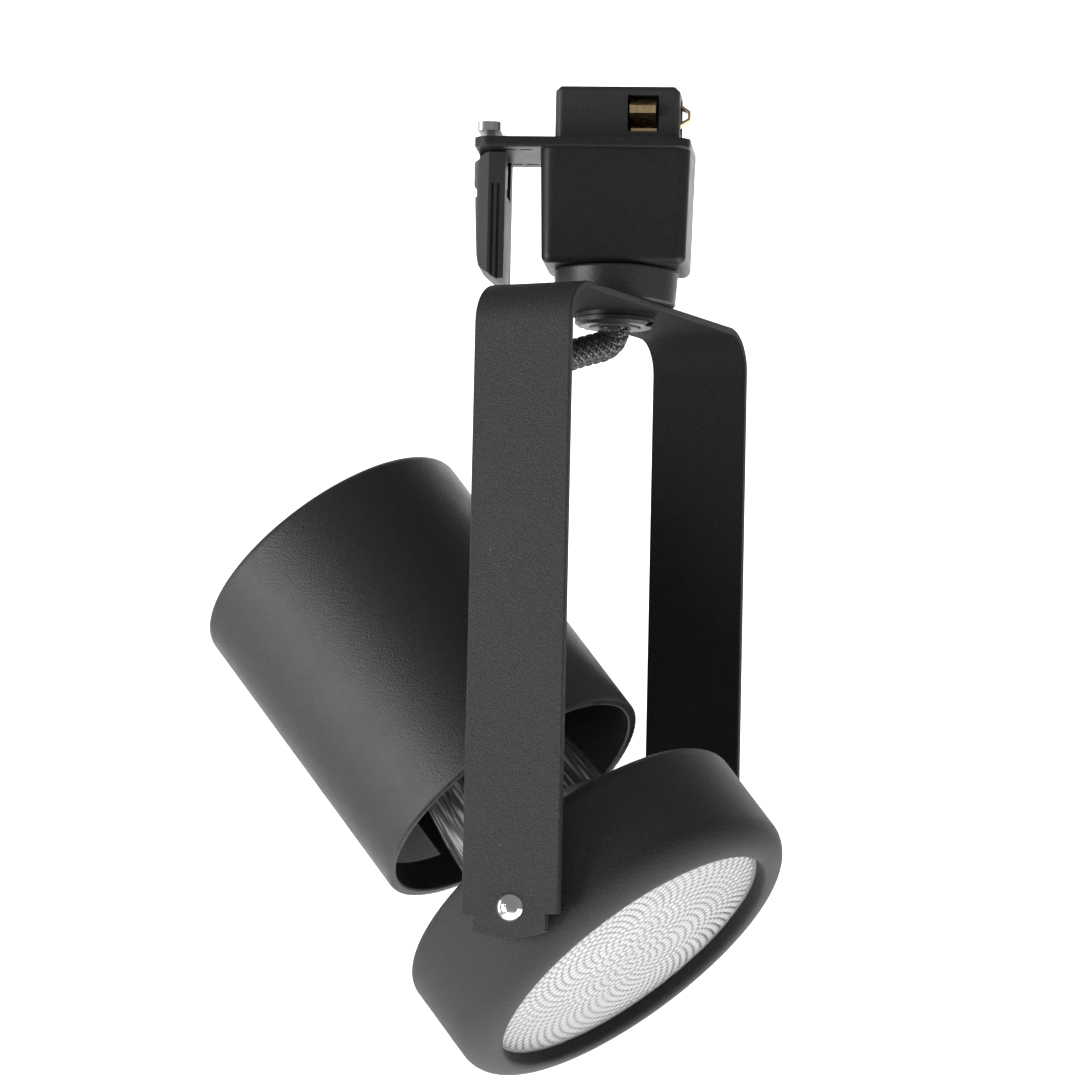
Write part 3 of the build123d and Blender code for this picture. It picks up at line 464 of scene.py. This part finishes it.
def lenslet_tree():
    """The lenslets' middles, laid out on a sunflower spiral with one area each."""
    reach = FACET_PITCH / math.sqrt(math.pi)
    count = int(((FACET_R + FACET_PITCH) / reach) ** 2)
    tree = KDTree(count)
    for n in range(count):
        r = reach * math.sqrt(n + 0.5)
        tree.insert((r * math.cos(n * GOLDEN_TURN), r * math.sin(n * GOLDEN_TURN), 0.0), n)
    tree.balance()
    return tree


def disc_point(a, b):
    """A point of a square grid, -1 to 1 each way, moved onto the unit disc without slivers."""
    if abs(a) > abs(b):
        r, angle = a, math.pi / 4 * b / a
    elif b:
        r, angle = b, math.pi / 2 - math.pi / 4 * a / b
    else:
        r, angle = 0.0, 0.0
    return r * math.cos(angle), r * math.sin(angle)


def lens_front():
    """The lens: domed lenslets on its front, then a plain rim, the edge and the flat back."""
    bm = bmesh.new()
    # weight of the lens material's painted shade: 1 along the lenslets' borders, fading to 0 inside them
    groove_shade = bm.verts.layers.float.new("groove_shade")
    tree = lenslet_tree()
    rim_z = lens_profile(FACET_R) - 0.5 * FACET_RISE
    grid = []
    for i in range(LENS_CELLS + 1):
        row = []
        for j in range(LENS_CELLS + 1):
            x, y = disc_point(2 * i / LENS_CELLS - 1, 2 * j / LENS_CELLS - 1)
            x, y = FACET_R * x, FACET_R * y
            near, far = (found[2] for found in tree.find_n((x, y, 0.0), 2))
            dome = min((far - near) / FACET_PITCH, 1.0)
            z = lens_profile(math.hypot(x, y)) + FACET_RISE * (math.sqrt(dome) - 0.6)
            on_border = i in (0, LENS_CELLS) or j in (0, LENS_CELLS)
            vert = bm.verts.new((x, y, rim_z if on_border else z))
            vert[groove_shade] = max(0.0, 1.0 - (far - near) / (0.45 * FACET_PITCH))
            row.append(vert)
        grid.append(row)
    for a, b in zip(grid, grid[1:]):
        for j in range(LENS_CELLS):
            bm.faces.new((a[j], b[j], b[j + 1], a[j + 1]))
    rim = [(FACET_R, rim_z), (FACET_R + 0.5, rim_z + 0.1),
           (LENS_R - 1.1, LENS_EDGE + 0.15), (LENS_R - 0.3, LENS_EDGE - 0.4), (LENS_R, LENS_EDGE - 1.2),
           (LENS_R, LENS_SEAT), (LENS_R - 3.0, LENS_SEAT), (LENS_R - 4.5, INNER_Z), (0.0, INNER_Z)]
    add_rings(bm, rim, 4 * LENS_CELLS)
    mesh = bpy.data.meshes.new("lens_mesh")
    bmesh.ops.remove_doubles(bm, verts=bm.verts, dist=1e-4)
    bm.to_mesh(mesh)
    bm.free()
    return mesh


def add_rings(bm, outline, around):
    """Turns an (r, z) outline about Z into quads; an end on the axis closes in a fan."""
    rows = []
    for r, z in outline:
        if r < 1e-6:
            rows.append([bm.verts.new((0.0, 0.0, z))])
            continue
        turn = [2 * math.pi * j / around for j in range(around)]
        rows.append([bm.verts.new((r * math.cos(a), r * math.sin(a), z)) for a in turn])
    for a, b in zip(rows, rows[1:]):
        for j in range(around):
            k = (j + 1) % around
            if len(a) == 1:
                bm.faces.new((a[0], b[k], b[j]))
            elif len(b) == 1:
                bm.faces.new((a[j], a[k], b[0]))
            else:
                bm.faces.new((a[j], a[k], b[k], b[j]))


def make_lens():
    mesh = lens_front()
    mesh.transform(HEAD_FRAME @ Matrix.Scale(MM, 4))
    bm = bmesh.new()
    bm.from_mesh(mesh)
    bmesh.ops.recalc_face_normals(bm, faces=bm.faces)
    bm.to_mesh(mesh)
    bm.free()
    mesh.shade_smooth()
    made = bpy.data.objects.new("faceted_lens", mesh)
    bpy.context.scene.collection.objects.link(made)
    mesh.materials.append(FINISHES["lens_glass"])
    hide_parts("lamp_lens")
    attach(made, "head")


make_lens()


# ------------------------------------------------------------------ reflector
FLUTES = 24
FLUTE_DEPTH = 0.35
PARABOLA = 30.0
PARABOLA_APEX = -30.0
INNER_SHIFT = 2.5
NECK_TOP = -21.0
LAMP_LENGTH = 82.6
SCREW_BASE_LENGTH = 27.0
BASE_TOP = LENS_CROWN - LAMP_LENGTH + SCREW_BASE_LENGTH


def parabola_r(z, shift=0.0):
    return math.sqrt(PARABOLA * (z - PARABOLA_APEX - shift))


def spaced(low, high, steps):
    return [low + (high - low) * i / steps for i in range(steps + 1)]


def make_reflector():
    """The lamp's pressed glass: an open bowl, and a neck fluted inside."""
    outline = [(0.0, BASE_TOP, 0), (12.3, BASE_TOP, 0), (13.4, BASE_TOP + 3.0, 0), (14.6, -38.0, 0),
               (15.8, -30.0, 0)]
    outline += [(parabola_r(z), z, 0) for z in spaced(NECK_TOP, 1.0, 12)]
    outline += [(LENS_R, 2.2, 0), (LENS_R, LENS_SEAT, 0)]
    outer_count = len(outline)
    outline += [(parabola_r(z, INNER_SHIFT), z, 0) for z in spaced(LENS_SEAT, -26.3, 28)]
    outline += [(6.0, -28.8, 0)]
    outline += [(r, r * r / PARABOLA + PARABOLA_APEX, 0) for r in (8.0, 10.0, 12.0)]
    outline += [(14.2, -23.3, 0), (14.1, -25.5, 1), (13.9, -30.0, 1), (12.9, -38.0, 1),
                (11.0, BASE_TOP + 2.0, 0), (0.0, BASE_TOP + 2.0, 0)]
    around = 8 * FLUTES
    verts = []
    faces = []
    rows = []
    for r, z, fluted in outline:
        count = 1 if r < 1e-6 else around
        rows.append((len(verts), count))
        for j in range(count):
            a = 2 * math.pi * j / around
            reach = r + fluted * FLUTE_DEPTH * math.cos(FLUTES * a)
            verts.append((reach * math.cos(a), reach * math.sin(a), z))
    for (a, many), (b, more) in zip(rows, rows[1:]):
        for j in range(around):
            k = (j + 1) % around
            if many == 1:
                faces.append((a, b + j, b + k))
            elif more == 1:
                faces.append((a + j, b, a + k))
            else:
                faces.append((a + j, b + j, b + k, a + k))
    made = piece("pressed_reflector", verts, faces, "reflector_glass", "head",
                 HEAD_FRAME @ Matrix.Scale(MM, 4), ["lamp_reflector"])
    edge = rows[outer_count - 1][0]
    outside = made.data.attributes.new("outside", "FLOAT", "POINT")
    outside.data.foreach_set("value", [1.0 if i < edge else 0.0 for i in range(len(verts))])


make_reflector()


# ------------------------------------------------------------------ braided lead
ENTRY_TURN = math.radians(45.0)
ENTRY_OUT = Vector((-math.sin(ENTRY_TURN), math.cos(ENTRY_TURN), 0.0))
CUP_R = 28.9
ENTRY_Z = -40.8
ENTRY = HEAD_FRAME @ (Vector((ENTRY_OUT.x * CUP_R, ENTRY_OUT.y * CUP_R, ENTRY_Z)) * MM)
ENTRY_AWAY = (HEAD_FRAME.to_3x3() @ ENTRY_OUT).normalized()
LEAD_R = 3.0
LEAD_ROUTE = [(0, 0, 132.4), (0, 0, 118.0), (0, 0, 110.4), (-6.4, 4.0, 108.2), (-15.0, 7.8, 104.8),
              (-26.0, 9.4, 94.4), (-33.4, 5.8, 79.4), (-34.9, -0.6, 64.5), (-32.4, -0.6, 53.0)]


def lead_path():
    """Closely spaced points on the lead's smooth line, from inside the stem to inside the cup."""
    points = [YOKE_FRAME @ (Vector(p) * MM) for p in LEAD_ROUTE]
    points += [ENTRY + ENTRY_AWAY * 8.0 * MM, ENTRY - ENTRY_AWAY * 4.5 * MM]
    data = bpy.data.curves.new("lead_line", "CURVE")
    data.dimensions = "3D"
    spline = data.splines.new("NURBS")
    spline.points.add(len(points) - 1)
    for point, co in zip(spline.points, points):
        point.co = (*co, 1.0)
    spline.order_u = 3
    spline.use_endpoint_u = True
    spline.resolution_u = 40
    line = bpy.data.objects.new("lead_line", data)
    bpy.context.scene.collection.objects.link(line)
    dense = [v.co.copy() for v in bpy.data.meshes.new_from_object(line).vertices]
    bpy.data.objects.remove(line)
    return dense


def resampled(points, step):
    """The same line at even spacing."""
    marks = [0.0]
    for a, b in zip(points, points[1:]):
        marks.append(marks[-1] + (b - a).length)
    count = round(marks[-1] / step)
    out = []
    at = 0
    for i in range(count + 1):
        want = marks[-1] * i / count
        while at < len(marks) - 2 and marks[at + 1] < want:
            at += 1
        share = (want - marks[at]) / max(1e-9, marks[at + 1] - marks[at])
        out.append(points[at].lerp(points[at + 1], min(1.0, share)))
    return out


def frames_along(points):
    """A steady side and up direction at each point of a line."""
    frames = []
    side = Vector((1.0, 0.0, 0.0))
    for i in range(len(points)):
        ahead = points[min(i + 1, len(points) - 1)] - points[max(i - 1, 0)]
        ahead.normalize()
        side = (side - ahead * side.dot(ahead)).normalized()
        frames.append((side.copy(), ahead.cross(side)))
    return frames


BRAID_STRANDS = 16
BRAID_TURN = 15.0
BLEND_START_Z = 108.0
BRAID_STEP = 0.235
YARN_HALF_W = 0.50
YARN_HALF_T = 0.13
YARN_LIFT = 0.13


def braid():
    """Two sets of flat yarns wound opposite ways round the lead, passing over and under each other."""
    line = resampled(lead_path(), BRAID_STEP * MM)
    frames = frames_along(line)
    verts = []
    faces = []
    section = [(-1.0, 0.0), (-0.6, 0.8), (0.0, 1.0), (0.6, 0.8), (1.0, 0.0), (0.0, -0.7)]
    n = len(section)
    rows = len(line)
    for way in (-1, 1):
        for k in range(BRAID_STRANDS):
            start = len(verts)
            for i, (at, (side, up)) in enumerate(zip(line, frames)):
                s = i * BRAID_STEP
                angle = 2 * math.pi * (k / BRAID_STRANDS + way * s / BRAID_TURN)
                beat = 2 * math.pi * s * BRAID_STRANDS / BRAID_TURN + math.pi * k
                lift = way * YARN_LIFT * math.sin(beat)
                for u, v in section:
                    a = angle + u * YARN_HALF_W / LEAD_R
                    r = (LEAD_R - 0.24 + lift + v * YARN_HALF_T) * MM
                    verts.append(at + (side * math.cos(a) + up * math.sin(a)) * r)
            for i in range(rows - 1):
                for j in range(n):
                    a = start + i * n + j
                    b = start + i * n + (j + 1) % n
                    faces.append((a, b, b + n, a + n))
            faces.append(tuple(start + j for j in range(n))[::-1])
            faces.append(tuple(start + (rows - 1) * n + j for j in range(n)))
    core = len(verts)
    around = 24
    for at, (side, up) in zip(line, frames):
        for j in range(around):
            a = 2 * math.pi * j / around
            verts.append(at + (side * math.cos(a) + up * math.sin(a)) * (LEAD_R - 0.45) * MM)
    for i in range(len(line) - 1):
        for j in range(around):
            a = core + i * around + j
            b = core + i * around + (j + 1) % around
            faces.append((a, b, b + around, a + around))
    faces.append(tuple(core + j for j in range(around))[::-1])
    faces.append(tuple(core + (len(line) - 1) * around + j for j in range(around)))
    made = piece("braided_lead", verts, faces, "braided_sleeve", None, replaced=["supply_lead"])
    start = YOKE_FRAME @ (Vector((0.0, 0.0, BLEND_START_Z)) * MM)
    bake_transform(made)


braid()


# ------------------------------------------------------------------ stage and light
def sheet_material(name, grey):
    return principled(name, Roughness=0.9, Base_Color=(grey, grey, grey, 1.0))[0]


def make_stage():
    """A plain pale floor far below and a pale wall far behind, joined by a wide cove."""
    outline = []
    floor_z, wall_y, cove = -1.1, 3.6, 1.2
    outline.append((-4.5, floor_z))
    for i in range(13):
        a = math.pi / 2 * i / 12
        outline.append((wall_y - cove + cove * math.sin(a), floor_z + cove - cove * math.cos(a)))
    outline.append((wall_y, 4.0))
    verts = [(x, y, z) for x in (-5.0, 5.0) for y, z in outline]
    n = len(outline)
    faces = [(i, i + n, i + n + 1, i + 1) for i in range(n - 1)]
    mesh = bpy.data.meshes.new("studio_cove")
    mesh.from_pydata(verts, [], faces)
    mesh.shade_smooth()
    mesh.materials.append(sheet_material("pale_paper", 0.86))
    cove_object = bpy.data.objects.new("studio_cove", mesh)
    bpy.context.scene.collection.objects.link(cove_object)


def area(name, place, aim, size, power):
    data = bpy.data.lights.new(name, "AREA")
    data.shape = "RECTANGLE"
    data.size, data.size_y = size
    data.energy = power
    made = bpy.data.objects.new(name, data)
    bpy.context.scene.collection.objects.link(made)
    made.location = place
    made.rotation_euler = (Vector(aim) - Vector(place)).to_track_quat("-Z", "Y").to_euler()


make_stage()
HEART = (0.0, 0.0, -0.10)
area("left_softbox", (-1.25, -0.75, -0.30), HEART, (0.8, 1.1), 20.0)
area("left_rear_panel", (-1.35, 0.30, -0.05), HEART, (0.6, 1.2), 4.0)
area("right_low_softbox", (0.85, -0.45, -0.85), HEART, (1.1, 1.1), 11.0)
area("floor_glow", (0.3, 0.0, -1.05), (0.3, 0.0, 1.0), (2.6, 2.2), 17.0)
area("wall_light", (0.0, 1.6, 1.8), (0.0, 3.6, 0.3), (3.0, 1.0), 150.0)

world = bpy.data.worlds.new("studio")
world.use_nodes = True
world.node_tree.nodes["Background"].inputs["Color"].default_value = (1.0, 1.0, 1.0, 1.0)
world.node_tree.nodes["Background"].inputs["Strength"].default_value = 0.27
bpy.context.scene.world = world
bpy.context.scene.view_settings.view_transform = "Standard"
